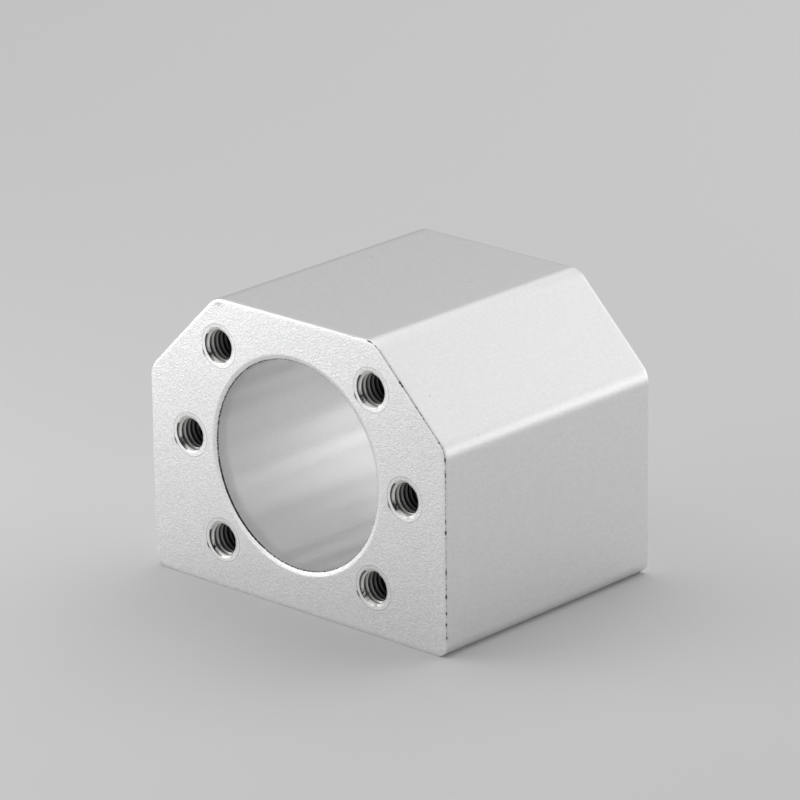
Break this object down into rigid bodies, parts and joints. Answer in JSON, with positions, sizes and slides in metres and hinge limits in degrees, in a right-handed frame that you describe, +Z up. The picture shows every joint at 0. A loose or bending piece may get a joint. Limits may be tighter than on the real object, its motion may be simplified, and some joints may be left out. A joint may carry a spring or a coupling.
{
  "type": "ball screw nut housing",
  "caption": "Aluminium block with sloped shoulders and a through bore that carries a ball screw's nut, with tapped holes round the bore for its flange and in the foot for the table.",
  "frame": {"origin": "middle of the foot, on the surface that the foot stands on, half way along the bore", "axes": "+X across the width, +Z up from the foot, -Y along the bore and out of the front face, where the nut's flange seats"},
  "size_m": [0.052, 0.04, 0.04],
  "materials": {
    "anodised_aluminium": "bead-blasted and clear anodised, satin, with a machined bore and tapped holes"
  },
  "bodies": {
    "root": {"nut_housing": "anodised_aluminium"}
  },
  "joints": []
}
